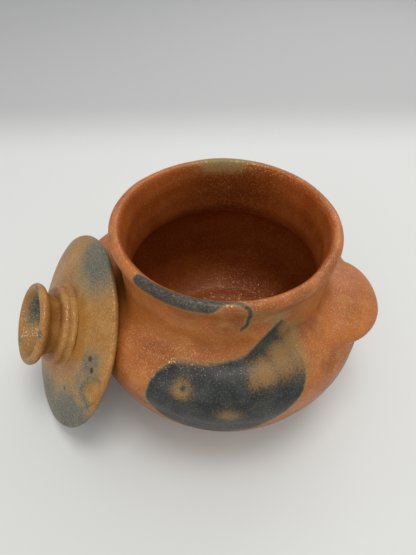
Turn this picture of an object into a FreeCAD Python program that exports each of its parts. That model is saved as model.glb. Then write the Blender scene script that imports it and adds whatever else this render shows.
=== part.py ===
"""Micaceous clay bean pot with a loose lid, as a parametric document in millimetres.

The pot stands on z = 0 with its axis on Z and its two lugs along X. The lid is
drawn in a frame of its own, with its edge on z = 0 and its axis on Z, and is then
leaned against the pot's side, with its edge on the floor.
"""
import FreeCAD, Part
import math
import os
import Sketcher
from FreeCAD import Placement, Rotation, Vector

doc = FreeCAD.newDocument("bean_pot")

# Driving dimensions, in millimetres and degrees
DIMENSIONS = {
    # The pot's wall, from its flat base to its neck
    "base_radius": 46.8,
    "base_turn_radius": 45.7,
    "belly_radius": 100.0,
    "belly_height": 73.8,
    "shoulder_radius": 24.0,
    "neck_radius": 71.3,
    "neck_height": 110.0,
    "wall_thickness": 6.5,
    # The rim coil on top of the neck
    "pot_height": 146.0,
    "lip_radius": 75.0,
    "lip_thickness": 8.3,
    "coil_height": 14.0,
    # The two lugs, above the belly's widest place and proud of it
    "lug_rise": 15.2,
    "lug_proud": 9.0,
    "lug_depth": 27.0,
    "lug_half_width": 41.0,
    "lug_half_thickness": 12.0,
    # The lid's disc
    "lid_radius": 70.8,
    "lid_edge_thickness": 5.0,
    "lid_dome_height": 10.5,
    "lid_thickness": 4.8,
    "lid_flat_radius": 25.0,
    # The thumb dimple near the lid's edge
    "dimple_distance": 61.0,
    "dimple_turn": 95.0,
    "dimple_half_length": 10.5,
    "dimple_half_width": 6.0,
    "dimple_depth": 2.2,
    # The knob, a hollow cup that stands in a coil of clay
    "knob_height": 26.0,
    "knob_stem_radius": 16.5,
    "knob_lip_radius": 26.3,
    "knob_lip_thickness": 5.8,
    "knob_cup_depth": 17.0,
    "knob_wall": 5.0,
    "collar_thickness": 8.0,
    # How the lid leans on the pot
    "lean_angle": 57.5,
    "lean_turn": 220.3,
    "lean_side": 207.9,
    "lean_clearance": 0.3,
}

sheet = doc.addObject("Spreadsheet::Sheet", "dimensions")
for row, (alias, number) in enumerate(DIMENSIONS.items(), start=1):
    sheet.set(f"A{row}", alias)
    sheet.set(f"B{row}", str(number))
    sheet.setAlias(f"B{row}", alias)
doc.recompute()


def size(formula):
    """The value of a formula of driving dimensions, worked out by the sheet."""
    return float(sheet.evalExpression(formula))


def in_sheet(formula):
    """The same formula with each name written as a cell of the sheet."""
    return " ".join("dimensions." + word if word in DIMENSIONS else word for word in formula.split())


def polar(centre, radius, angle):
    return (centre[0] + radius * math.cos(angle), centre[1] + radius * math.sin(angle))


def turn_between(centre, target):
    """The direction from one centre to another, in radians."""
    return math.atan2(target[1] - centre[1], target[0] - centre[0])


class Section:
    """A turned piece and its half section: sketch x is the radius and sketch y is Z.

    Each edge starts where the last one ended, and the chain closes on itself.
    """

    def __init__(self, label):
        self.body = doc.addObject("PartDesign::Body", label)
        self.body.Label = label
        self.sketch = self.body.newObject("Sketcher::SketchObject", label + "_section")
        features = self.body.Origin.OriginFeatures
        plane = next(feature for feature in features if feature.Role == "XZ_Plane")
        self.sketch.AttachmentSupport = [(plane, "")]
        self.sketch.MapMode = "FlatFace"
        self.edges = []

    def line(self, start, end):
        edge = Part.LineSegment(Vector(*start, 0), Vector(*end, 0))
        self.edges.append((self.sketch.addGeometry(edge), 1, 2))

    def arc(self, centre, radius, start, end):
        """An arc from one angle to another, either way round."""
        circle = Part.Circle(Vector(*centre, 0), Vector(0, 0, 1), radius)
        edge = Part.ArcOfCircle(circle, min(start, end), max(start, end))
        first, last = (1, 2) if start < end else (2, 1)
        self.edges.append((self.sketch.addGeometry(edge), first, last))

    def close(self):
        for this, following in zip(self.edges, self.edges[1:] + self.edges[:1]):
            meeting = Sketcher.Constraint("Coincident", this[0], this[2], following[0], following[1])
            self.sketch.addConstraint(meeting)

    def bind(self, name, kind, places, formula):
        """Dimension the section and bind the dimension to the sheet."""
        index = self.sketch.addConstraint(Sketcher.Constraint(kind, *places, size(formula)))
        self.sketch.renameConstraint(index, name)
        self.sketch.setExpression("Constraints." + name, in_sheet(formula))

    def bind_point(self, name, edge, radius, height):
        """Fix where an edge of the chain starts, by its radius and its height."""
        index, start = self.edges[edge][:2]
        self.bind(name + "_radius", "DistanceX", (-1, 1, index, start), radius)
        self.bind(name + "_height", "DistanceY", (-1, 1, index, start), height)

    def revolve(self):
        turned = self.body.newObject("PartDesign::Revolution", self.body.Label + "_turned")
        turned.Profile = self.sketch
        turned.ReferenceAxis = (self.sketch, ["V_Axis"])
        turned.Angle = 360
        return self.body


def pot_arcs():
    """The four arcs of the pot's side, as (centre, radius, start, end, inward).

    The base turn touches the floor, the belly touches the base turn and stands
    upright at its widest, and the shoulder and the neck touch each other.
    """
    floor_turn = (size("base_radius"), size("base_turn_radius"))
    reach = size("belly_radius - base_radius")
    rise = size("belly_height - base_turn_radius")
    turn_radius = size("base_turn_radius")
    belly_arc = (reach**2 + rise**2 - turn_radius**2) / (2 * (reach - turn_radius))
    belly = (size("belly_radius") - belly_arc, size("belly_height"))
    base_end = turn_between(belly, floor_turn)
    draw_in = size("belly_radius - neck_radius")
    climb = size("neck_height - belly_height")
    both_radii = (draw_in**2 + climb**2) / (2 * draw_in)
    shoulder_radius = size("shoulder_radius")
    neck_radius = both_radii - shoulder_radius
    shoulder = (size("belly_radius - shoulder_radius"), size("belly_height"))
    neck = (size("neck_radius") + neck_radius, size("neck_height"))
    shoulder_end = turn_between(shoulder, neck)
    return [
        (floor_turn, turn_radius, -math.pi / 2, base_end, 1),
        (belly, belly_arc, base_end, 0, 1),
        (shoulder, shoulder_radius, 0, shoulder_end, 1),
        (neck, neck_radius, shoulder_end + math.pi, math.pi, -1),
    ]


def pot_side(section, inset, upwards):
    """Draw the pot's side, set in by a wall, upwards or downwards."""
    arcs = pot_arcs()
    for centre, radius, start, end, inward in arcs if upwards else reversed(arcs):
        if upwards:
            section.arc(centre, radius - inward * inset, start, end)
        else:
            section.arc(centre, radius - inward * inset, end, start)


def make_pot_body():
    """The pot's wall and base, one skin of coiled and scraped clay up to the rim coil."""
    section = Section("pot_body")
    seat = size("pot_height - coil_height")
    outside = size("neck_radius")
    inside = size("neck_radius - wall_thickness")
    neck = size("neck_height")
    section.line((0, 0), (size("base_radius"), 0))
    pot_side(section, 0, upwards=True)
    section.line((outside, neck), (outside, seat))
    section.line((outside, seat), (inside, seat))
    section.line((inside, seat), (inside, neck))
    pot_side(section, size("wall_thickness"), upwards=False)
    section.line((size("base_radius"), size("wall_thickness")), (0, size("wall_thickness")))
    section.line((0, size("wall_thickness")), (0, 0))
    section.close()
    section.bind_point("base", 1, "base_radius", "0 mm")
    section.bind_point("belly", 3, "belly_radius", "belly_height")
    section.bind_point("neck", 5, "neck_radius", "neck_height")
    section.bind_point("seat", 6, "neck_radius", "pot_height - coil_height")
    section.bind_point("seat_inside", 7, "neck_radius - wall_thickness", "pot_height - coil_height")
    section.bind("base_turn", "Radius", (1,), "base_turn_radius")
    section.bind("shoulder", "Radius", (3,), "shoulder_radius")
    return section.revolve()


def make_pot_envelope():
    """The pot's outside as a full solid, which trims the lugs to the wall."""
    section = Section("pot_envelope")
    seat = size("pot_height - coil_height")
    section.line((0, 0), (size("base_radius"), 0))
    pot_side(section, 0, upwards=True)
    section.line((size("neck_radius"), size("neck_height")), (size("neck_radius"), seat))
    section.line((size("neck_radius"), seat), (0, seat))
    section.line((0, seat), (0, 0))
    section.close()
    return section.revolve()


def tangent_from(point, centre, radius, side):
    """The angle on a circle where a line from an outside point touches it."""
    distance = math.dist(point, centre)
    return turn_between(centre, point) + side * math.acos(radius / distance)


def make_rim_coil():
    """The last coil, smoothed into a flared lip, on the flat top of the neck."""
    section = Section("rim_coil")
    radius = size("lip_thickness / 2")
    centre = (size("lip_radius - lip_thickness / 2"), size("pot_height - lip_thickness / 2"))
    seat = size("pot_height - coil_height")
    inner = (size("neck_radius - wall_thickness"), seat)
    outer = (size("neck_radius"), seat)
    outer_touch = tangent_from(outer, centre, radius, 1)
    inner_touch = tangent_from(inner, centre, radius, -1) + 2 * math.pi
    section.line(inner, outer)
    section.line(outer, polar(centre, radius, outer_touch))
    section.arc(centre, radius, outer_touch, inner_touch)
    section.line(polar(centre, radius, inner_touch), inner)
    section.close()
    section.bind_point("seat_inside", 0, "neck_radius - wall_thickness", "pot_height - coil_height")
    section.bind_point("seat", 1, "neck_radius", "pot_height - coil_height")
    section.bind("lip", "Radius", (2,), "lip_thickness / 2")
    return section.revolve()


def make_lug(label, side, envelope):
    """A lug pinched from a lump of clay, blunt at its tip and trimmed to the wall."""
    lump = doc.addObject("Part::Ellipsoid", label + "_lump")
    lump.Angle1, lump.Angle2, lump.Angle3 = -90, 90, 360
    lump.setExpression("Radius1", in_sheet("lug_half_thickness"))
    lump.setExpression("Radius2", in_sheet("lug_depth"))
    lump.setExpression("Radius3", in_sheet("lug_half_width"))
    lump.setExpression("Placement.Base.x", in_sheet(f"{side} * ( belly_radius + lug_proud - lug_depth )"))
    lump.setExpression("Placement.Base.z", in_sheet("belly_height + lug_rise"))
    lug = doc.addObject("Part::Cut", label)
    lug.Label = label
    lug.Base = lump
    lug.Tool = envelope
    return lug


def make_lid_disc():
    """A shallow domed disc, hollow below, with a thumb's dimple near its edge."""
    section = Section("lid_plain_disc")
    dome = size("lid_dome_height")
    edge = size("lid_edge_thickness / 2")
    rim = size("lid_radius") - edge
    foot = rim - edge
    roof = dome - size("lid_thickness")
    flat = size("lid_flat_radius")
    hollow_rise = roof + edge
    hollow_radius = (foot**2 + hollow_rise**2) / (2 * hollow_rise)
    hollow = (0, roof - hollow_radius)
    section.arc(hollow, hollow_radius, math.pi / 2, turn_between(hollow, (foot, -edge)))
    section.line((foot, -edge), (rim, -edge))
    section.arc((rim, 0), edge, -math.pi / 2, math.pi / 2)
    crown_rise = dome - edge
    crown_radius = ((rim - flat) ** 2 + crown_rise**2) / (2 * crown_rise)
    crown = (flat, dome - crown_radius)
    section.arc(crown, crown_radius, turn_between(crown, (rim, edge)), math.pi / 2)
    section.line((flat, dome), (0, dome))
    section.line((0, dome), (0, roof))
    section.close()
    section.bind_point("roof", 0, "0 mm", "lid_dome_height - lid_thickness")
    section.bind_point("rim", 2, "lid_radius - lid_edge_thickness / 2", "lid_edge_thickness / -2")
    section.bind_point("crown", 4, "lid_flat_radius", "lid_dome_height")
    section.bind("edge", "Radius", (2,), "lid_edge_thickness / 2")
    plain = section.revolve()

    thumb = doc.addObject("Part::Ellipsoid", "thumb_print")
    thumb.Angle1, thumb.Angle2, thumb.Angle3 = -90, 90, 360
    distance = size("dimple_distance")
    fall = math.asin((distance - flat) / crown_radius)
    surface = crown[1] + crown_radius * math.cos(fall)
    thumb.setExpression("Radius1", in_sheet("dimple_half_width"))
    thumb.setExpression("Radius2", in_sheet("dimple_half_width"))
    thumb.setExpression("Radius3", in_sheet("dimple_half_length"))
    lift = size("dimple_half_width - dimple_depth")
    turn = Rotation(Vector(0, 0, 1), size("dimple_turn"))
    slope = Rotation(Vector(0, 1, 0), math.degrees(fall))
    normal = slope.multVec(Vector(0, 0, 1))
    place = turn.multVec(Vector(distance, 0, surface) + normal * lift)
    thumb.Placement = Placement(place, turn.multiply(slope))

    disc = doc.addObject("Part::Cut", "lid_disc")
    disc.Label = "lid_disc"
    disc.Base = plain
    disc.Tool = thumb
    return disc


def make_knob_collar():
    """The coil of clay that beds the knob on the lid."""
    section = Section("knob_collar")
    seat = size("lid_dome_height")
    stem = size("knob_stem_radius")
    half = size("collar_thickness / 2")
    section.line((stem, seat), (stem + half, seat))
    section.arc((stem + half, seat + half), half, -math.pi / 2, math.pi / 2)
    section.line((stem + half, seat + 2 * half), (stem, seat + 2 * half))
    section.line((stem, seat + 2 * half), (stem, seat))
    section.close()
    section.bind_point("seat", 0, "knob_stem_radius", "lid_dome_height")
    section.bind_point("round", 1, "knob_stem_radius + collar_thickness / 2", "lid_dome_height")
    section.bind("coil", "Radius", (1,), "collar_thickness / 2")
    return section.revolve()


def make_knob_cup():
    """The knob: a stem that opens into a hollow, flared cup."""
    section = Section("knob_cup")
    seat = size("lid_dome_height")
    stem = size("knob_stem_radius")
    waist = seat + size("collar_thickness")
    bead = size("knob_lip_thickness / 2")
    lip = (size("knob_lip_radius") - bead, seat + size("knob_height") - bead)
    out = lip[0] - stem
    rise = lip[1] - waist
    flare_radius = (out**2 + rise**2 - bead**2) / (2 * (out + bead))
    flare = (stem + flare_radius, waist)
    flare_end = turn_between(flare, lip)
    floor = seat + size("knob_height - knob_cup_depth")
    floor_edge = (stem - size("knob_wall"), floor)
    touch = tangent_from(floor_edge, lip, bead, -1)
    if touch < flare_end - math.pi:
        touch += 2 * math.pi
    section.line((0, seat), (stem, seat))
    section.line((stem, seat), (stem, waist))
    section.arc(flare, flare_radius, math.pi, flare_end)
    section.arc(lip, bead, flare_end - math.pi, touch)
    section.line(polar(lip, bead, touch), floor_edge)
    section.line(floor_edge, (0, floor))
    section.line((0, floor), (0, seat))
    section.close()
    section.bind_point("foot", 1, "knob_stem_radius", "lid_dome_height")
    section.bind_point("waist", 2, "knob_stem_radius", "lid_dome_height + collar_thickness")
    floor_height = "lid_dome_height + knob_height - knob_cup_depth"
    section.bind_point("floor", 5, "knob_stem_radius - knob_wall", floor_height)
    section.bind("lip", "Radius", (3,), "knob_lip_thickness / 2")
    return section.revolve()


def leaning_lid(distance):
    """The lid's place when its centre stands a distance from the pot's axis."""
    lean = Rotation(Vector(0, 1, 0), size("lean_angle"))
    turn = Rotation(Vector(0, 0, 1), size("lean_turn"))
    edge = size("lid_edge_thickness / 2")
    side = math.radians(size("lean_side"))
    height = size("lid_radius - lid_edge_thickness / 2") * math.sin(math.radians(size("lean_angle")))
    centre = Vector(distance * math.cos(side), distance * math.sin(side), height + edge)
    return Placement(centre, turn.multiply(lean))


def lean_distance(disc, pot):
    """How far out the lid stands for its disc to clear the pot by the named gap."""
    near, far = size("belly_radius"), size("belly_radius + lid_radius")
    gap = size("lean_clearance")
    while far - near > gap / 30:
        middle = (near + far) / 2
        trial = disc.copy()
        trial.Placement = leaning_lid(middle).multiply(disc.Placement)
        if trial.distToShape(pot)[0] < gap:
            near = middle
        else:
            far = middle
    return far


pot_body = make_pot_body()
rim_coil = make_rim_coil()
envelope = make_pot_envelope()
lugs = [make_lug("lug_right", 1, envelope), make_lug("lug_left", -1, envelope)]
lid_pieces = [make_lid_disc(), make_knob_collar(), make_knob_cup()]
doc.recompute()

pot = Part.makeCompound([piece.Shape for piece in [pot_body, rim_coil, *lugs]])
lid_place = leaning_lid(lean_distance(lid_pieces[0].Shape, pot))
for piece in lid_pieces:
    piece.Placement = lid_place
doc.recompute()
print("lid centre", [round(number, 2) for number in lid_place.Base])

for thing in doc.Objects:
    if {"Invalid", "Error"} & set(thing.State):
        raise RuntimeError(f"{thing.Label} failed: {thing.State}")
os.makedirs("parts", exist_ok=True)
for piece in [pot_body, rim_coil, *lugs, *lid_pieces]:
    if piece.Shape.isNull() or not piece.Shape.isValid():
        raise RuntimeError(f"{piece.Label} has no valid shape")
    piece.Shape.exportStep(f"parts/{piece.Label}.step")
    print(piece.Label, len(piece.Shape.Solids), "solid,", round(piece.Shape.Volume / 1000, 1), "cm3")
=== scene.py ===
"""A hand-built bean pot of mica-flecked clay, with its loose lid leaning against it."""
import math

import bpy
import numpy as np
from mathutils import Euler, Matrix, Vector


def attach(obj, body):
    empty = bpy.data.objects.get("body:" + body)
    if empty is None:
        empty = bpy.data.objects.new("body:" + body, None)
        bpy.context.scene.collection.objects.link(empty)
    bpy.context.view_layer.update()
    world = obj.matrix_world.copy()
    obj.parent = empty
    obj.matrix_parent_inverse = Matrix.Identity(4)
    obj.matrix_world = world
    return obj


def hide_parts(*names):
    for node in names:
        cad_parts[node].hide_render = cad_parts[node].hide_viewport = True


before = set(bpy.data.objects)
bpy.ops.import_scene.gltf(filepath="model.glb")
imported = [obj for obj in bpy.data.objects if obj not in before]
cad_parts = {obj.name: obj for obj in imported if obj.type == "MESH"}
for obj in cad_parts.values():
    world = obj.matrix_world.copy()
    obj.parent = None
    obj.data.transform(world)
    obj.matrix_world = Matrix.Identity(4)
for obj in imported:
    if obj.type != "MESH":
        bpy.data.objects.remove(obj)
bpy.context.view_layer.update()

# The camera stands above the pot and looks down at it, a little from the right
# lug's side, at the distance that the photograph's perspective gives.
FRAME_HEIGHT_PIXELS = 555
FOCAL_PIXELS = 400.9
SENSOR_HEIGHT = 24.0
CAMERA_PLACE = (0.04812, -0.19706, 0.30407)
LOOKING_DOWN = math.radians(46.56)
SEEN_FROM = math.radians(17.0)
CAMERA_ROLL = math.radians(-0.87)

camera_data = bpy.data.cameras.new("camera")
camera_data.sensor_fit = "VERTICAL"
camera_data.sensor_height = SENSOR_HEIGHT
camera_data.lens = FOCAL_PIXELS / FRAME_HEIGHT_PIXELS * SENSOR_HEIGHT
camera = bpy.data.objects.new("camera", camera_data)
bpy.context.collection.objects.link(camera)
aim = Euler((0, 0, SEEN_FROM)).to_matrix() @ Euler((math.pi / 2 - LOOKING_DOWN, 0, 0)).to_matrix()
camera.rotation_euler = (aim @ Euler((0, 0, CAMERA_ROLL)).to_matrix()).to_euler()
camera.location = CAMERA_PLACE
bpy.context.scene.camera = camera


# The pot's wall is coiled clay, scraped thin and burnished with a stone: a flat
# base, a full belly, a shoulder and a neck, in one skin with a worn, soft surface.
BASE_RADIUS = 0.0468
BASE_TURN_RADIUS = 0.0457
BELLY_RADIUS = 0.100
BELLY_HEIGHT = 0.0738
SHOULDER_RADIUS = 0.024
NECK_RADIUS = 0.0713
NECK_HEIGHT = 0.110
WALL = 0.0065
SEAT_HEIGHT = 0.132
POT_HEIGHT = 0.146
LIP_RADIUS = 0.075
LIP_THICKNESS = 0.0083
LIP_TILT = 0.0012
LIP_TILT_TURN = math.radians(197)
PROFILE_STEP = 0.0013
ROUND_STEPS = 264
HAND_SOFTENING = 0.0025
RING_SPACING = 0.019
RING_HEIGHT = 0.8e-3
STAIN_CIRCLE = 100.0


def linear(hex_colour):
    """An sRGB hex colour as linear red, green, blue and alpha."""
    parts = [int(hex_colour[i:i + 2], 16) / 255 for i in (1, 3, 5)]
    return [part / 12.92 if part <= 0.04045 else ((part + 0.055) / 1.055) ** 2.4 for part in parts] + [1.0]


def arc(centre, radius, start, end):
    """Points on a circle from one angle to another, at most a profile step and a
    seventh of the radius apart."""
    count = max(3, int(abs(end - start) * radius / min(PROFILE_STEP, radius / 7)))
    turn = np.linspace(start, end, count)
    return np.stack([centre[0] + radius * np.cos(turn), centre[1] + radius * np.sin(turn)], 1)


def straight(start, end):
    """Points on a straight run, one profile step apart."""
    start, end = np.array(start), np.array(end)
    count = max(2, int(np.linalg.norm(end - start) / PROFILE_STEP))
    return start + (end - start) * np.linspace(0, 1, count)[:, None]


def chain(*runs):
    """Runs of points joined end to end, without the points that repeat."""
    points = np.concatenate(runs)
    steps = np.linalg.norm(np.diff(points, axis=0), axis=1)
    return points[np.concatenate([[True], steps > PROFILE_STEP / 20])]


def soften(points, reach, step):
    """Round a profile off: points a step apart each become the mean of their
    neighbours, weighted by a bell curve of the length along the profile. The two ends
    stay in place."""
    along = np.concatenate([[0], np.cumsum(np.linalg.norm(np.diff(points, axis=0), axis=1))])
    even = np.linspace(0, along[-1], int(along[-1] / step))
    points = np.stack([np.interp(even, along, points[:, i]) for i in (0, 1)], 1)
    span = reach * np.minimum(1, np.minimum(even, even[-1] - even) / (3 * reach))
    weight = np.exp(-0.5 * ((even[:, None] - even[None]) / np.maximum(span[:, None], 1e-6)) ** 2)
    return weight @ points / weight.sum(1, keepdims=True)


def pot_side(inset):
    """The pot's side from the base to the neck: four arcs, each touching the next,
    set in by the wall on the inside."""
    base = (BASE_RADIUS, BASE_TURN_RADIUS)
    reach = BELLY_RADIUS - BASE_RADIUS
    rise = BELLY_HEIGHT - BASE_TURN_RADIUS
    belly_arc = (reach**2 + rise**2 - BASE_TURN_RADIUS**2) / (2 * (reach - BASE_TURN_RADIUS))
    belly = (BELLY_RADIUS - belly_arc, BELLY_HEIGHT)
    base_end = math.atan2(base[1] - belly[1], base[0] - belly[0])
    draw_in = BELLY_RADIUS - NECK_RADIUS
    both = (draw_in**2 + (NECK_HEIGHT - BELLY_HEIGHT) ** 2) / (2 * draw_in)
    shoulder = (BELLY_RADIUS - SHOULDER_RADIUS, BELLY_HEIGHT)
    neck = (NECK_RADIUS + both - SHOULDER_RADIUS, NECK_HEIGHT)
    shoulder_end = math.atan2(neck[1] - shoulder[1], neck[0] - shoulder[0])
    return chain(
        arc(base, BASE_TURN_RADIUS - inset, -math.pi / 2, base_end),
        arc(belly, belly_arc - inset, base_end, 0),
        arc(shoulder, SHOULDER_RADIUS - inset, 0, shoulder_end),
        arc(neck, both - SHOULDER_RADIUS + inset, shoulder_end + math.pi, math.pi),
    )


def pot_profile():
    """The whole pot in section: out along the base, up to the lip and down inside."""
    bead = LIP_THICKNESS / 2
    lip = (LIP_RADIUS - bead, POT_HEIGHT - bead)
    outside, inside = pot_side(0), pot_side(WALL)[::-1]
    return chain(
        straight((0, 0), (BASE_RADIUS, 0)),
        outside,
        straight((NECK_RADIUS, NECK_HEIGHT), (NECK_RADIUS, SEAT_HEIGHT)),
        straight((NECK_RADIUS, SEAT_HEIGHT), (lip[0] + bead * 0.9, lip[1] - bead * 0.6)),
        arc(lip, bead, -0.4, math.pi + 0.1),
        straight((lip[0] - bead, lip[1]), (NECK_RADIUS - WALL, SEAT_HEIGHT)),
        straight((NECK_RADIUS - WALL, SEAT_HEIGHT), (NECK_RADIUS - WALL, NECK_HEIGHT)),
        inside,
        straight((BASE_RADIUS, WALL), (0, WALL)),
    )


def turned(profile):
    """A profile carried round the Z axis, as a grid of points: rows along the
    profile and columns round it."""
    turn = np.linspace(0, 2 * math.pi, ROUND_STEPS, endpoint=False)
    radius, height = profile[:, :1], profile[:, 1:]
    return np.stack([radius * np.cos(turn), radius * np.sin(turn), height + 0 * turn], 2)


def hand_built(points):
    """Unevenness that hands leave in coiled clay: slow swells of under a millimetre
    round the pot and up it, the rings of a thumb on the floor inside, and a lip that
    runs a little out of level."""
    x, y, z = points[..., 0], points[..., 1], points[..., 2]
    turn = np.arctan2(y, x)
    swell = 0.45e-3 * np.sin(2 * turn + 0.6) * np.sin(z * 38 + 0.4)
    swell += 0.28e-3 * np.sin(3 * turn + 1.9 + z * 21) + 0.16e-3 * np.sin(7 * turn + z * 90)
    swell += 0.10e-3 * np.sin(13 * turn - z * 160) + 0.12e-3 * np.sin(z * 420 + 2 * turn)
    radius = np.hypot(x, y)
    rings = RING_HEIGHT * np.sin(radius * 2 * math.pi / RING_SPACING + turn)
    z = z + rings * np.clip((0.07 - radius) / 0.02, 0, 1) * ((z > WALL / 2) & (z < 3 * WALL))
    grow = 1 + swell * np.clip(z / 0.03, 0, 1) / np.maximum(radius, 0.02)
    climb = np.clip((z - 0.09) / 0.05, 0, 1)
    lift = climb * (LIP_TILT * np.cos(turn - LIP_TILT_TURN) + 0.35e-3 * np.sin(4 * turn + 1) * climb)
    return np.stack([x * grow, y * grow, z + lift], -1)


def grid_piece(name, points, body, node, closed_rows=False, poles=True):
    """A mesh from a grid of points that closes on itself across its columns. Rows
    that start and end on the axis are shut with a single point each."""
    rows, columns = points.shape[:2]
    if poles:
        tips = np.array([points[0].mean(0), points[-1].mean(0)])
        points = points[1:-1]
        rows -= 2
    places = points.reshape(-1, 3)
    row = np.arange(rows if closed_rows else rows - 1)[:, None]
    column = np.arange(columns)[None]
    after, beside = (row + 1) % rows, (column + 1) % columns
    corners = [row * columns + column, row * columns + beside]
    corners += [after * columns + beside, after * columns + column]
    faces = np.stack([c.reshape(-1) for c in corners], 1).tolist()
    if poles:
        first, last = len(places), len(places) + 1
        ring = np.arange(columns)
        step = (ring + 1) % columns
        base = (rows - 1) * columns
        faces += np.stack([step, ring, np.full(columns, first)], 1).tolist()
        faces += np.stack([base + ring, base + step, np.full(columns, last)], 1).tolist()
        places = np.concatenate([places, tips])
    return mesh_piece(name, places, faces, body, node)


def mesh_piece(name, places, faces, body, node):
    """A smooth mesh piece that rides on a body and stands for a node."""
    mesh = bpy.data.meshes.new(name)
    mesh.from_pydata(places.tolist(), [], faces)
    mesh.polygons.foreach_set("use_smooth", np.ones(len(mesh.polygons), dtype=bool))
    mesh.set_sharp_from_angle(angle=math.radians(50))
    mesh.update()
    piece = bpy.data.objects.new(name, mesh)
    bpy.context.collection.objects.link(piece)
    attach(piece, body)
    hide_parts(node)
    return piece


def vertex_places(piece):
    """The places of a piece's vertices, as one array."""
    flat = np.empty(len(piece.data.vertices) * 3)
    piece.data.vertices.foreach_get("co", flat)
    return flat.reshape(-1, 3)


def paint(piece, layer, values):
    """Keep a number for each vertex, for the material to read."""
    attribute = piece.data.attributes.new(layer, "FLOAT", "POINT")
    attribute.data.foreach_set("value", np.asarray(values, dtype=np.float32).reshape(-1))


def inside_outline(points, outline):
    """How far points lie inside a closed outline of straight sides, negative outside.
    The distance is to the nearest side, and its sign comes from counting crossings."""
    start, end = outline, np.roll(outline, -1, axis=0)
    nearest = np.full(len(points), 1e9)
    inside = np.zeros(len(points), dtype=bool)
    for a, b in zip(start, end):
        side = b - a
        share = np.clip((points - a) @ side / (side @ side), 0, 1)
        nearest = np.minimum(nearest, np.linalg.norm(points - a - share[:, None] * side, axis=1))
        straddles = (a[1] > points[:, 1]) != (b[1] > points[:, 1])
        rise = (points[:, 1] - a[1]) / (side[1] if side[1] else 1e-9)
        inside ^= straddles & (points[:, 0] < a[0] + rise * side[0])
    return np.where(inside, nearest, -nearest)


def near_path(points, path, widths):
    """How far points lie inside a stroke whose half width changes along its path."""
    best = np.full(len(points), -1e9)
    for (a, b), (wide_a, wide_b) in zip(zip(path, path[1:]), zip(widths, widths[1:])):
        a, b = np.array(a, dtype=float), np.array(b, dtype=float)
        share = np.clip((points - a) @ (b - a) / ((b - a) @ (b - a)), 0, 1)
        away = np.linalg.norm(points - a - share[:, None] * (b - a), axis=1)
        best = np.maximum(best, wide_a + (wide_b - wide_a) * share - away)
    return best


def soft_spot(points, centre, radii):
    """A spot that fades from 1 at its centre to 0, as a bell curve of two radii."""
    away = (points - np.array(centre)) / np.array(radii)
    return np.exp(-(away**2).sum(-1))


def rounded(outline, rounds=3):
    """A closed outline with its corners cut off again and again, at a quarter and
    three quarters of each side, until it runs smoothly."""
    points = np.array(outline, dtype=float)
    for _ in range(rounds):
        after = np.roll(points, -1, axis=0)
        points = np.stack([0.75 * points + 0.25 * after, 0.25 * points + 0.75 * after], 1).reshape(-1, 2)
    return points


def round_the_pot(places):
    """Places on the pot in millimetres: round it from the front, along the circle that
    stains are measured on, and up it, where the lip counts on over its bead and down
    inside."""
    turn = (np.degrees(np.arctan2(places[:, 1], places[:, 0])) + 270) % 360 - 180
    radius = np.hypot(places[:, 0], places[:, 1])
    bead = LIP_THICKNESS / 2
    out, above = radius - (LIP_RADIUS - bead), places[:, 2] - (POT_HEIGHT - bead)
    over = POT_HEIGHT - bead + np.arctan2(above, out) % (2 * math.pi) * bead
    inside = (out < -WALL / 2) & (above < 0)
    down = POT_HEIGHT - bead + math.pi * bead - above
    up = np.where(above > 0, over, np.where(inside, down, places[:, 2]))
    return np.stack([np.radians(turn) * STAIN_CIRCLE, up * 1000], 1)


# A smoke stain where the fire touched the belly: a broad body with a tail that
# climbs to the neck. Its clay shows through in three embers and in a tan flank.
BELLY_CLOUD = [
    (-24.5, 83), (-21, 93.5), (-13, 97.5), (-3, 98.3), (14, 98.5), (27, 100), (42, 101.5), (50, 106),
    (58, 114), (66, 122), (71, 131), (78, 121), (84, 110), (86, 99), (80, 88), (72, 79), (62, 66),
    (50, 53), (36, 45), (12, 41), (-8, 46), (-19, 59), (-24.5, 72),
]
EMBER_DOT = ((-0.5, 90.4), 1.3)
EMBER_DOT_FADE = 1.5
EMBERS = [((-1, 89), (7, 6), 1.0), ((29, 76), (9, 7), 0.8), ((47, 95), (7, 5), 0.8)]
TAN_FLANK = [
    ((55, 96), (12, 5)), ((70, 99), (14, 8)), ((82, 102), (10, 13)),
    ((77, 115), (8, 10)), ((88, 91), (8, 13)),
]
TAN_HALO = [((83, 106), (12, 18), 0.5), ((68, 128), (12, 10), 0.5), ((48, 136), (12, 5), 0.5)]
TAIL_FADE = [((72, 130), (9, 10), 4)]

# A long grey stain lies on the front and left of the lip, thins to a line and
# hooks down onto the neck.
LIP_STAIN = [
    (-46, 146), (-22, 146), (0, 146), (15, 146), (23, 148.5), (32, 149), (38, 147), (42, 144), (43.5, 140),
    (43.5, 134), (43, 128), (38, 123),
]
LIP_STAIN_HALF_WIDTHS = [5.2, 6, 6, 5.0, 2.4, 1.6, 1.6, 1.9, 2.1, 2.2, 2.1, 1.5]
LIP_STAIN_MARGIN = 3
LIP_STAIN_BARE = 0.3
UNSTAINED = -20

# A breath of smoke lies over the back of the lip. Painted shade darkens the wall inside the back of the pot,
# where the wall turns away under the neck.
BACK_HAZE = [((340, 149), (48, 6), 0.65), ((342, 153), (34, 8), 0.65)]
# Painted shade: the back of the wall inside, where it turns away under the neck.
BACK_WALL_SHADE = [((338, 172), (70, 32), 0.8)]


def add_node(tree, kind, links=None, **settings):
    """Add a node, set its properties and sockets, and link what feeds it. A key that
    names a socket sets it, and a socket's number is written as in_0."""
    node = tree.nodes.new(kind)
    for key, value in settings.items():
        if key.startswith("in_"):
            node.inputs[int(key[3:])].default_value = value
        else:
            setattr(node, key, value)
    for socket, source in (links or {}).items():
        tree.links.new(source, node.inputs[socket])
    return node


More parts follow.
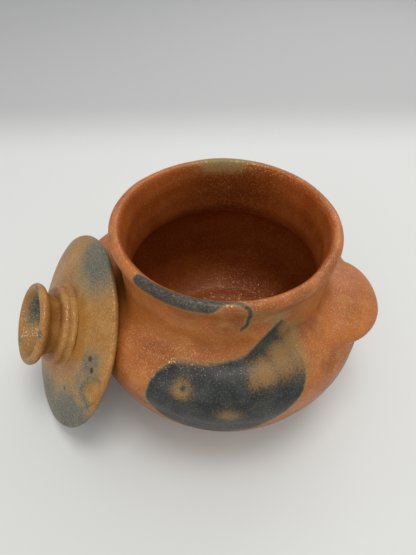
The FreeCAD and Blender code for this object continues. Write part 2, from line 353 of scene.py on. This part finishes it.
# Micaceous earthenware, burnished and left unglazed: a slightly waxy orange skin,
# soft mottling from the fire, and flakes of mica that glint one by one. Real flakes
# are a few tenths of a millimetre, too fine to show, so they are drawn coarser here.
CLAY = {"deep": "#874718", "main": "#A25C24", "pale": "#B57638"}
SOOT = {"dark": "#1A1F20", "grey": "#3E403A", "grain": "#8A6636"}
HAZE = {"tan": "#866A3E", "grey": "#535448"}
# Painted shade and bounced light: the inside of the pot and of the knob's cup is painted a darker, redder
# clay, and brown at the back of the wall inside.
INNER_PAINTED_SHADE = {"red": "#88370B", "brown": "#4C2108"}
MICA = "#E8C08A"
CLAY_IOR = 1.5
CLAY_SHEEN = 0.30
FLAKE_TILT = 0.45
SMALL_FLAKES = 0.62e-3
LARGE_FLAKES = 1.3e-3
MOTTLE_SIZE = 28e-3
GRAIN_SIZE = 1.1e-3
HAZE_SIZE = 9e-3
SOOT_SIZE = 11e-3
RAGGED_SIZE = 5e-3
STROKE_SIZE = 6e-3
STROKE_STRETCH = 0.28
RELIEF_HEIGHT = 0.6e-3


def mica_clay(name, deep, main, pale, glitter):
    """The clay as a material. It reads four layers of the mesh: stain, how far a point
    lies inside a stain in millimetres; bare, how much clay shows through the stain;
    smoke_and_shade, how much thin smoke lies there, and painted shade in the thumb
    print and the knob's cup; and inner, whether it is inside the pot or the cup, where
    the clay is painted darker and redder as shade, above 1 where painted shade lies on
    the back of the wall inside."""
    material = bpy.data.materials.new(name)
    material.use_nodes = True
    tree = material.node_tree
    tree.nodes.clear()
    place = add_node(tree, "ShaderNodeTexCoord").outputs["Object"]

    def noise(size, detail, roughness=0.55):
        """A field of soft noise about 0.5, with features of a size."""
        return add_node(
            tree, "ShaderNodeTexNoise", {0: place}, in_2=1 / size, in_3=detail, in_4=roughness
        ).outputs[0]

    def layer(name):
        """The number that the mesh keeps under a name."""
        return add_node(tree, "ShaderNodeAttribute", attribute_name=name).outputs["Fac"]

    def ramp(source, low, high):
        """Ease from 0 to 1 as the source goes from low to high."""
        return add_node(
            tree, "ShaderNodeMapRange", {0: source}, interpolation_type="SMOOTHSTEP", in_1=low, in_2=high
        ).outputs[0]

    def join(node, sockets, sources):
        """Feed sockets from colours, numbers or other nodes."""
        for socket, source in zip(sockets, sources):
            if isinstance(source, str):
                node.inputs[socket].default_value = linear(source)
            elif isinstance(source, (int, float)):
                node.inputs[socket].default_value = source
            else:
                tree.links.new(source, node.inputs[socket])

    def mix(share, first, second):
        """The first colour, and a share of the second over it."""
        node = add_node(tree, "ShaderNodeMix", data_type="RGBA")
        join(node, (0, 6, 7), (share, first, second))
        return node.outputs[2]

    def maths(operation, first, second):
        """Two values added, subtracted, multiplied or compared."""
        node = add_node(tree, "ShaderNodeMath", operation=operation)
        join(node, (0, 1), (first, second))
        return node.outputs[0]

    def flakes(spacing, share, breadth):
        """Some cells of a scatter hold a flake: how much flake is here, and its tilt."""
        cells = add_node(tree, "ShaderNodeTexVoronoi", {0: place}, feature="F1", in_2=1 / spacing)
        luck = add_node(tree, "ShaderNodeSeparateColor", {0: cells.outputs["Color"]}).outputs[0]
        dot = ramp(cells.outputs["Distance"], breadth, breadth * 0.7)
        return maths("MULTIPLY", ramp(luck, 1 - share, 1 - share + 0.02), dot), cells.outputs["Color"]

    # The fired skin: broad mottling, smaller pale patches and a fine grain.
    speckle = noise(GRAIN_SIZE, 2, 0.6)
    colour = mix(ramp(noise(MOTTLE_SIZE, 3), 0.35, 0.65), deep, main)
    colour = mix(maths("MULTIPLY", ramp(noise(MOTTLE_SIZE * 0.4, 3), 0.45, 0.8), 0.6), colour, pale)
    colour = mix(maths("MULTIPLY", ramp(speckle, 0.55, 0.8), 0.5), colour, pale)
    colour = mix(maths("MULTIPLY", ramp(speckle, 0.45, 0.25), 0.4), colour, deep)

    # Inside, painted shade and bounced light make the clay redder and darker, and
    # brown at the back of the wall inside. Thin smoke turns the skin tan, then grey,
    # and near black where it is thickest; the same mixes paint shade into the thumb
    # print and the knob's cup.
    colour = mix(maths("MULTIPLY", ramp(layer("inner"), 0, 1), 0.6), colour, INNER_PAINTED_SHADE["red"])
    colour = mix(maths("MULTIPLY", ramp(layer("inner"), 1, 1.8), 0.6), colour, INNER_PAINTED_SHADE["brown"])
    grainy = maths("SUBTRACT", speckle, 0.5)
    patchy = maths("MULTIPLY", layer("smoke_and_shade"), maths("ADD", noise(HAZE_SIZE, 4), 0.5))
    smoke_and_shade = maths("ADD", patchy, maths("MULTIPLY", grainy, 0.7))
    colour = mix(ramp(smoke_and_shade, 0.08, 0.6), colour, HAZE["tan"])
    colour = mix(ramp(smoke_and_shade, 0.35, 1.25), colour, HAZE["grey"])
    colour = mix(maths("MULTIPLY", ramp(smoke_and_shade, 1.2, 2.6), 0.6), colour, SOOT["grey"])

    # A stain is soot with a ragged edge and a tan border, and clay shows through it
    # where it is bare, and as single grains elsewhere.
    soot = mix(ramp(noise(SOOT_SIZE, 3), 0.3, 0.9), SOOT["dark"], SOOT["grey"])
    shown = maths("ADD", maths("MULTIPLY", layer("bare"), 1.15), maths("MULTIPLY", grainy, 1.35))
    soot = mix(maths("MULTIPLY", ramp(shown, 0.15, 1.2), 0.9), soot, SOOT["grain"])
    ragged = maths("MULTIPLY", maths("ADD", maths("SUBTRACT", noise(RAGGED_SIZE, 3), 0.5), grainy), 1.6)
    edge = maths("ADD", layer("stain"), ragged)
    colour = mix(maths("MULTIPLY", ramp(edge, -2.0, 0.2), 0.7), colour, HAZE["tan"])
    sooted = ramp(edge, -0.6, 1.5)
    colour = mix(sooted, colour, soot)

    # The mica: many small flakes and a few large ones, dimmed where soot covers them.
    small, small_tint = flakes(SMALL_FLAKES, glitter, 0.5)
    large, large_tint = flakes(LARGE_FLAKES, glitter * 0.15, 0.24)
    glint = maths("MAXIMUM", maths("MULTIPLY", small, 0.7), large)
    shine = maths("MULTIPLY", glint, maths("SUBTRACT", 0.55, maths("MULTIPLY", sooted, 0.33)))
    colour = mix(shine, colour, MICA)

    # The surface: grain and long burnishing strokes, and each flake at its own tilt.
    strokes = add_node(tree, "ShaderNodeMapping", {0: place}, in_3=(1.0, 1.0, STROKE_STRETCH)).outputs[0]
    burnish = add_node(tree, "ShaderNodeTexNoise", {0: strokes}, in_2=1 / STROKE_SIZE, in_3=2.0).outputs[0]
    relief = maths("ADD", maths("MULTIPLY", speckle, 0.45), maths("MULTIPLY", burnish, 0.55))
    bump = add_node(tree, "ShaderNodeBump", {2: relief}, in_0=0.55, in_1=RELIEF_HEIGHT)
    tint = add_node(tree, "ShaderNodeVectorMath", {0: small_tint, 1: large_tint}, operation="ADD")
    scatter = add_node(tree, "ShaderNodeVectorMath", {0: tint.outputs[0]}, operation="SUBTRACT")
    scatter.inputs[1].default_value = (1.0, 1.0, 1.0)
    amount = maths("MULTIPLY", glint, FLAKE_TILT)
    tilt = add_node(tree, "ShaderNodeVectorMath", {0: scatter.outputs[0], 3: amount}, operation="SCALE")
    tilted = add_node(tree, "ShaderNodeVectorMath", {0: bump.outputs[0], 1: tilt.outputs[0]}, operation="ADD")
    normal = add_node(tree, "ShaderNodeVectorMath", {0: tilted.outputs[0]}, operation="NORMALIZE").outputs[0]

    skin = add_node(tree, "ShaderNodeBsdfPrincipled", {"Base Color": colour, "Normal": normal})
    skin.inputs["IOR"].default_value = CLAY_IOR
    dull = maths("ADD", maths("MULTIPLY", speckle, 0.2), 0.34)
    sheen = maths("SUBTRACT", CLAY_SHEEN, maths("MULTIPLY", layer("inner"), 0.17))
    tree.links.new(sheen, skin.inputs["Specular IOR Level"])
    tree.links.new(maths("SUBTRACT", dull, maths("MULTIPLY", glint, 0.2)), skin.inputs["Roughness"])
    tree.links.new(maths("MULTIPLY", glint, 0.8), skin.inputs["Metallic"])
    add_node(tree, "ShaderNodeOutputMaterial", {0: skin.outputs[0]})
    return material


POT_CLAY = mica_clay("burnished_micaceous_clay", *CLAY.values(), glitter=0.24)

whole_pot = soften(pot_profile(), HAND_SOFTENING, PROFILE_STEP)
outer_seat = int(np.argmax((whole_pot[:, 1] > SEAT_HEIGHT) & (whole_pot[:, 0] > 0.05)))
inner_seat = len(whole_pot) - int(np.argmax(whole_pot[::-1, 1] > SEAT_HEIGHT))
wall_profile = chain(
    whole_pot[: outer_seat + 1],
    straight(whole_pot[outer_seat], whole_pot[inner_seat]),
    whole_pot[inner_seat:],
)
pot_wall = grid_piece("pot_wall", hand_built(turned(wall_profile)), "pot", "pot_body")


def wall_radius(height):
    """The radius of the pot's outside at a height, read off its profile."""
    outside = whole_pot[: outer_seat + 1]
    start = int(np.argmax(outside[:, 0] > BASE_RADIUS))
    return np.interp(height, outside[start:, 1], outside[start:, 0])


def most(points, spots):
    """The strongest of several soft spots at each point. A spot is a centre, its two
    radii and, where it isn't 1, its strength."""
    strengths = [strength[0] if strength else 1 for _, _, *strength in spots]
    fields = [soft_spot(points, centre, radii) for centre, radii, *_ in spots]
    return np.max([field * strength for field, strength in zip(fields, strengths)], axis=0)


def smoke_and_shade_pot(piece):
    """Lay the fire's marks and painted shade on a piece of the pot and give it the pot's
    clay. The marks are the cloud on the belly, the stain along the lip, the tan round
    the cloud's tail and a breath of smoke at the back. The painted shade makes the
    inside darker and redder, and darker still at the back of the wall inside."""
    places = vertex_places(piece)
    flat = round_the_pot(places)
    radius = np.hypot(places[:, 0], places[:, 1])
    inner = (radius < wall_radius(places[:, 2]) - WALL / 2) & (places[:, 2] > WALL / 2)
    cloud = inside_outline(flat, rounded(BELLY_CLOUD)) - most(flat, TAIL_FADE)
    lip = near_path(flat, LIP_STAIN, LIP_STAIN_HALF_WIDTHS)
    dot_away = np.linalg.norm(flat - EMBER_DOT[0], axis=1) - EMBER_DOT[1]
    bare = most(flat, EMBERS + TAN_FLANK) * np.clip(dot_away / EMBER_DOT_FADE + 0.5, 0, 1)
    bare = np.where(lip > -LIP_STAIN_MARGIN, LIP_STAIN_BARE, bare)
    back = np.stack([flat[:, 0] % (2 * math.pi * STAIN_CIRCLE), flat[:, 1]], 1)
    paint(piece, "stain", np.where(inner, UNSTAINED, np.maximum(cloud, lip)))
    paint(piece, "bare", np.where(inner, 0, bare))
    paint(piece, "smoke_and_shade", np.maximum(most(flat, TAN_HALO), most(back, BACK_HAZE)))
    # Painted shade: inside, the clay is painted darker and redder, and darker still at the back of the wall
    # inside.
    paint(piece, "inner", inner * (1 + most(back, BACK_WALL_SHADE)))
    piece.data.materials.append(POT_CLAY)


smoke_and_shade_pot(pot_wall)


# The rim is one last coil of the same clay, pressed onto the flat top of the neck and
# drawn out with wet fingers into a round lip that flares a little.
rim_profile = chain(
    whole_pot[outer_seat: inner_seat + 1],
    straight(whole_pot[inner_seat], whole_pot[outer_seat])[:-1],
)
rim_grid = hand_built(turned(rim_profile))
rim_coil = grid_piece("rim_coil", rim_grid, "pot", "rim_coil", closed_rows=True, poles=False)
smoke_and_shade_pot(rim_coil)


# Each lug is a lump of clay pinched flat and luted onto the shoulder. Its root is
# smoothed into the wall with a wet thumb, so it has no edge there.
LUG_REACH = 0.109
LUG_DEPTH = 0.027
LUG_HALF_WIDTH = 0.041
LUG_FRONT_SHARE = 0.86
LUG_HALF_THICKNESS = 0.012
LUG_HEIGHT = 0.089
LUG_FILLET = 0.0030
LUG_SQUARENESS = 1.85
LUG_GRID = (150, 90)
LUG_MARGIN = (1.35, 2.025)
LUG_BORDER = 0.12
LUG_SINK = 0.0004
LUG_SKIN = 0.003


def lug(name, side):
    """A lug as a skin over the wall, on one side of the pot. The skin stands off the
    wall by the soft maximum of nothing and the lump's own height there, and dips just
    under the wall along its border."""
    across = np.linspace(-1, 1, LUG_GRID[0]) * LUG_HALF_WIDTH * LUG_MARGIN[0]
    up = np.linspace(-1, 1, LUG_GRID[1]) * LUG_HALF_THICKNESS * LUG_MARGIN[1]
    across, up = np.meshgrid(across, up)
    width = LUG_HALF_WIDTH * np.where(side * across < 0, LUG_FRONT_SHARE, 1)
    inside = 1 - np.abs(across / width) ** LUG_SQUARENESS - np.abs(up / LUG_HALF_THICKNESS) ** LUG_SQUARENESS
    lump = LUG_REACH - LUG_DEPTH + LUG_DEPTH * np.sign(inside) * np.abs(inside) ** (1 / LUG_SQUARENESS)
    height = LUG_HEIGHT + up
    wall = np.sqrt(np.maximum(wall_radius(height) ** 2 - across**2, 1e-6))
    stand = lump - wall
    proud = 0.5 * (stand + np.sqrt(stand**2 + LUG_FILLET**2)) - LUG_SINK / 2
    border = np.minimum(1 - np.abs(across / across.max()), 1 - np.abs(up / up.max()))
    proud = proud * np.clip(border / LUG_BORDER, 0, 1) - LUG_SINK * (border < LUG_BORDER)
    front = hand_built(np.stack([side * (wall + proud), side * across, height], 2))
    back = hand_built(np.stack([side * (wall - LUG_SKIN), side * across, height], 2))
    rows, columns = across.shape
    index = np.arange(rows * columns).reshape(rows, columns)
    quads = np.stack([index[:-1, :-1], index[:-1, 1:], index[1:, 1:], index[1:, :-1]], 2).reshape(-1, 4)
    edge = np.concatenate([index[0, :], index[1:, -1], index[-1, -2::-1], index[-2:0:-1, 0]])
    after = np.roll(edge, -1)
    skirt = np.stack([edge, edge + index.size, after + index.size, after], 1)
    faces = np.concatenate([quads, quads[:, ::-1] + index.size, skirt]).tolist()
    places = np.concatenate([front.reshape(-1, 3), back.reshape(-1, 3)])
    smoke_and_shade_pot(mesh_piece(name, places, faces, "pot", name))


lug("lug_right", 1)
lug("lug_left", -1)


# The lid is a shallow dome of the same clay, more golden from the fire, hollow below,
# with a soft round edge and the print of a thumb near it. It is loose, and leans on the
# pot with its edge on the floor.
LID_CENTRE = (-0.10181, -0.05391, 0.06010)
LID_LEAN = math.radians(57.5)
LID_TURN = math.radians(220.3)
LID_RADIUS = 0.0708
LID_EDGE = 0.0025
LID_DOME = 0.0105
LID_ROOF = 0.0057
LID_FLAT = 0.025
LID_SOFTENING = 0.0012
FINE_STEP = 0.0009
COLLAR_THICKNESS = 0.008
KNOB_TOP = LID_DOME + 0.023
KNOB_DEPTH = 0.017
KNOB_PLACE = (-0.0032, 0, 0)
LID_COLOURS = {"deep": "#865521", "main": "#9B692C", "pale": "#B28545"}
THUMB_PLACE = (-0.0075, 0.0625)
THUMB_RADII = (0.0115, 0.0058)
THUMB_DEPTH = 0.0045
# Painted shade, partly smoke: a thin dark crescent along the thumb print's inner wall, where the hollow lies
# in shade.
THUMB_SHADE_AND_SMOKE = [(-12, 55.5), (-5, 54.8), (1.5, 56.5), (4.2, 61), (3.5, 68)]
THUMB_SHADE_AND_SMOKE_HALF_WIDTHS = [0.1, 0.2, 0.4, 0.5, 0.3]
THUMB_SHADE_AND_SMOKE_STRENGTH = 1.1

LID_CLAY = mica_clay("golden_micaceous_clay", *LID_COLOURS.values(), glitter=0.5)
lid_turning = Euler((0, 0, LID_TURN)).to_matrix() @ Euler((0, LID_LEAN, 0)).to_matrix()


def lean(points):
    """Take points from the lid's own frame to its leaning place."""
    return points @ np.array(lid_turning).T + np.array(LID_CENTRE)


def lid_profile():
    """The disc in section: under the dome out to the edge, round it and back over."""
    rim = LID_RADIUS - LID_EDGE
    foot = rim - LID_EDGE
    hollow_rise = LID_ROOF + LID_EDGE
    hollow = (foot**2 + hollow_rise**2) / (2 * hollow_rise)
    crown_rise = LID_DOME - LID_EDGE
    crown = ((rim - LID_FLAT) ** 2 + crown_rise**2) / (2 * crown_rise)
    crown_end = math.atan2(LID_EDGE - (LID_DOME - crown), rim - LID_FLAT)
    return chain(
        arc((0, LID_ROOF - hollow), hollow, math.pi / 2, math.atan2(-LID_EDGE - LID_ROOF + hollow, foot)),
        arc((rim, 0), LID_EDGE, -math.pi / 2, math.pi / 2),
        arc((LID_FLAT, LID_DOME - crown), crown, crown_end, math.pi / 2),
        straight((LID_FLAT, LID_DOME), (0, LID_DOME)),
    )


def pressed(points):
    """The lid's unevenness and its thumb print, an oval hollow with a low lip."""
    x, y, z = points[..., 0], points[..., 1], points[..., 2]
    turn, radius = np.arctan2(y, x), np.hypot(x, y)
    wave = 0.35e-3 * np.sin(2 * turn + 0.5) + 0.2e-3 * np.sin(5 * turn) + 0.12e-3 * np.sin(11 * turn + 1)
    wave = wave + 0.25e-3 * np.sin(radius * 260 + turn)
    print_away = ((x - THUMB_PLACE[0]) / THUMB_RADII[0]) ** 2 + ((y - THUMB_PLACE[1]) / THUMB_RADII[1]) ** 2
    print_depth = THUMB_DEPTH * np.exp(-print_away**2.6) - 0.6e-3 * np.exp(-((print_away - 2.2) ** 2))
    share = np.clip(radius / 0.03, 0, 1)
    return np.stack([x, y, z + wave * share - np.where(z > 0, print_depth, 0)], -1)


lid_grid = pressed(turned(soften(lid_profile(), LID_SOFTENING, FINE_STEP)))
lid_disc = grid_piece("lid_disc", lean(lid_grid), "lid", "lid_disc")

# Smoke on the lid, and painted shade in its knob's cup, in millimetres from its centre: down the slope, then
# to the right.
LID_HAZE = [
    ((-64, -3), (20, 27), 1.5), ((37, 55), (23, 17), 3.0), ((20, 65), (14, 8), 1.8),
    ((-20, 51), (11, 9), 1.4), ((-2, 50), (12, 8), 0.8), ((50, 30), (20, 28), 1.5),
    ((-42, -50), (22, 12), 0.45), ((66, 0), (10, 45), 1.0), ((30, -60), (40, 10), 0.7),
]
LID_SPOTS = [((-23, 48.1), 2.7), ((-19.5, 54.5), 2.5), ((16.7, 41.1), 2.2)]
KNOB_REACH = 30
# A darker patch deep in one side of the knob's cup.
KNOB_CUP_DARK = [((-1, -18), (11, 7), 2.2)]
KNOB_HAZE = [
    ((-28, -8), (4, 6), 1.8), ((-16.5, 22), (3, 3), 2.2), ((23, -6), (3, 4), 1.4), ((10, 22), (5, 4), 0.6),
]
CUP_RADIUS = 17
CUP_FLARE = 0.45
# Painted shade: the whole inside of the knob's cup is hazed and reddened a little.
CUP_PAINTED_SHADE = 0.3
CUP_INNER_SHADE = 0.15


def smoke_and_shade_lid(piece):
    """Lay the smoke and painted shade on a piece of the lid and give it the lid's clay:
    grey breaths of smoke at its top and foot, painted shade with some smoke in a
    crescent in the thumb print, three small dark spots, soot on the knob's lip, and
    painted shade over the inside of the knob's cup, with a darker patch deep in it."""
    own = (vertex_places(piece) - np.array(LID_CENTRE)) @ np.array(lid_turning) * 1000
    flat, below_lip = own[:, :2], KNOB_TOP * 1000 - own[:, 2]
    spots = np.max([size - np.linalg.norm(flat - np.array(spot), axis=1) for spot, size in LID_SPOTS], axis=0)
    thumb = near_path(flat, THUMB_SHADE_AND_SMOKE, THUMB_SHADE_AND_SMOKE_HALF_WIDTHS)
    # Painted shade, partly smoke, in a crescent along the thumb print's inner wall.
    crescent = THUMB_SHADE_AND_SMOKE_STRENGTH * np.exp(-(np.minimum(thumb, 0) ** 2) / 3)
    knob = np.linalg.norm(flat, axis=1) < KNOB_REACH
    radius = np.hypot(flat[:, 0] - KNOB_PLACE[0] * 1000, flat[:, 1])
    depth = KNOB_DEPTH * 1000
    cup = knob & (below_lip < depth + 0.5) & (radius < CUP_RADIUS + (depth - below_lip) * CUP_FLARE)
    high, deep = np.clip((7 - below_lip) / 3, 0, 1), np.clip((below_lip - 4) / 3, 0, 1)
    # Dark spots on the knob's lip, and painted shade over the inside of its cup with a darker patch deep in
    # it.
    knob_spots_and_shade = high * most(flat, KNOB_HAZE) + cup * (CUP_PAINTED_SHADE + deep * most(flat, KNOB_CUP_DARK))
    paint(piece, "smoke_and_shade", np.where(knob, knob_spots_and_shade, np.maximum(most(flat, LID_HAZE), crescent)))
    paint(piece, "stain", np.where(knob, UNSTAINED, spots))
    paint(piece, "bare", np.zeros(len(own)))
    paint(piece, "inner", CUP_INNER_SHADE * cup)
    piece.data.materials.append(LID_CLAY)


smoke_and_shade_lid(lid_disc)


# A coil of the lid's clay beds the knob on the flat of the dome. It is luted down wet
# and rounded over with a finger.
STEM_RADIUS = 0.0205
COLLAR_FOOT = 0.003

collar_out = STEM_RADIUS + COLLAR_THICKNESS
collar_centre = (STEM_RADIUS + COLLAR_THICKNESS / 2, LID_DOME + COLLAR_THICKNESS / 2)
collar_seat = LID_DOME - 0.0005
collar_profile = chain(
    straight((STEM_RADIUS, collar_seat), (collar_out + COLLAR_FOOT, collar_seat)),
    arc((collar_out + COLLAR_FOOT, LID_DOME + COLLAR_FOOT), COLLAR_FOOT, -math.pi / 2, -math.pi),
    arc(collar_centre, COLLAR_THICKNESS / 2, -0.2, math.pi / 2),
    straight((collar_centre[0], LID_DOME + COLLAR_THICKNESS), (STEM_RADIUS, LID_DOME + COLLAR_THICKNESS)),
    straight((STEM_RADIUS, LID_DOME + COLLAR_THICKNESS), (STEM_RADIUS, collar_seat))[:-1],
)
collar_grid = lean(turned(collar_profile) + KNOB_PLACE)
knob_collar = grid_piece("knob_collar", collar_grid, "lid", "knob_collar", closed_rows=True, poles=False)
smoke_and_shade_lid(knob_collar)


# The knob is a small hollow cup of the same clay with a flared lip, pinched up on its
# own, set in the collar and made to be held from above.
KNOB_LIP_RADIUS = 0.0290
KNOB_SOFTENING = 0.0018
KNOB_BEAD = 0.0034
KNOB_FLOOR = KNOB_TOP - KNOB_DEPTH
KNOB_WALL = 0.005


def knob_profile():
    """The cup in section: up the stem, out along the flare, over the lip and down."""
    waist = LID_DOME + COLLAR_THICKNESS
    lip = (KNOB_LIP_RADIUS - KNOB_BEAD, KNOB_TOP - KNOB_BEAD)
    out, rise = lip[0] - STEM_RADIUS, lip[1] - waist
    flare = (out**2 + rise**2 - KNOB_BEAD**2) / (2 * (out + KNOB_BEAD))
    centre = (STEM_RADIUS + flare, waist)
    flare_end = math.atan2(lip[1] - centre[1], lip[0] - centre[0])
    floor_edge = (STEM_RADIUS - KNOB_WALL, KNOB_FLOOR)
    return chain(
        straight((0, LID_DOME), (STEM_RADIUS, LID_DOME)),
        straight((STEM_RADIUS, LID_DOME), (STEM_RADIUS, waist)),
        arc(centre, flare, math.pi, flare_end),
        arc(lip, KNOB_BEAD, flare_end - math.pi, math.pi),
        straight((lip[0] - KNOB_BEAD, lip[1]), floor_edge),
        straight(floor_edge, (0, KNOB_FLOOR)),
    )


knob_grid = lean(turned(soften(knob_profile(), KNOB_SOFTENING, FINE_STEP)) + KNOB_PLACE)
knob_cup = grid_piece("knob_cup", knob_grid, "lid", "knob_cup")
smoke_and_shade_lid(knob_cup)


# The studio: a pale floor that runs back out of sight, a lamp overhead, a window's
# light from behind, a weak lamp in front, and an even, pale sky.
PAPER_NEAR = "#CFCFCA"
# Painted shade: the paper far behind the pot is given this darker tone.
PAPER_FAR_SHADED = "#B3B2B0"
PAPER_SHADE_FADE = (0.33, 0.52)
FLOOR_HALF = 4.0
SKY_COLOUR = "#F4F6FA"
SKY_LEVEL = 0.82
LAMP_TARGET = (0, 0, 0.08)

floor_mesh = bpy.data.meshes.new("floor")
floor_corners = [(x * FLOOR_HALF, y * FLOOR_HALF, 0) for x, y in ((-1, -1), (1, -1), (1, 1), (-1, 1))]
floor_mesh.from_pydata(floor_corners, [], [(0, 1, 2, 3)])
floor = bpy.data.objects.new("floor", floor_mesh)
bpy.context.collection.objects.link(floor)

# Matt studio paper, with painted shade: a little darker far behind the pot, where less light reaches it.
floor_material = bpy.data.materials.new("pale_paper")
floor_material.use_nodes = True
floor_tree = floor_material.node_tree
floor_tree.nodes.clear()
floor_place = add_node(floor_tree, "ShaderNodeTexCoord").outputs["Object"]
away = add_node(floor_tree, "ShaderNodeVectorMath", {0: floor_place}, operation="DOT_PRODUCT")
away.inputs[1].default_value = (-math.sin(SEEN_FROM), math.cos(SEEN_FROM), 0)
fade = add_node(
    floor_tree, "ShaderNodeMapRange", {0: away.outputs["Value"]}, interpolation_type="SMOOTHSTEP",
    in_1=PAPER_SHADE_FADE[0], in_2=PAPER_SHADE_FADE[1],
)
tone = add_node(
    floor_tree, "ShaderNodeMix", {0: fade.outputs[0]}, data_type="RGBA",
    in_6=linear(PAPER_NEAR), in_7=linear(PAPER_FAR_SHADED),
)
paper = add_node(floor_tree, "ShaderNodeBsdfDiffuse", {0: tone.outputs[2]})
add_node(floor_tree, "ShaderNodeOutputMaterial", {0: paper.outputs[0]})
floor_mesh.materials.append(floor_material)

world = bpy.data.worlds.new("studio")
world.use_nodes = True
sky = world.node_tree.nodes["Background"]
sky.inputs[0].default_value = linear(SKY_COLOUR)
sky.inputs[1].default_value = SKY_LEVEL
bpy.context.scene.world = world


def lamp(name, place, power, breadth):
    """A square lamp at a place, turned to face the pot."""
    data = bpy.data.lights.new(name, "AREA")
    data.energy = power
    data.size = breadth
    thing = bpy.data.objects.new(name, data)
    thing.location = place
    thing.rotation_euler = (Vector(LAMP_TARGET) - Vector(place)).to_track_quat("-Z", "Y").to_euler()
    bpy.context.collection.objects.link(thing)


lamp("ceiling", (0.10, -0.05, 1.15), 5.0, 0.4)
lamp("window", (0.25, 1.1, 0.9), 3.5, 0.8)
lamp("front_fill", (-0.3, -1.1, 0.6), 2.0, 0.7)

bpy.context.scene.view_settings.view_transform = "Standard"
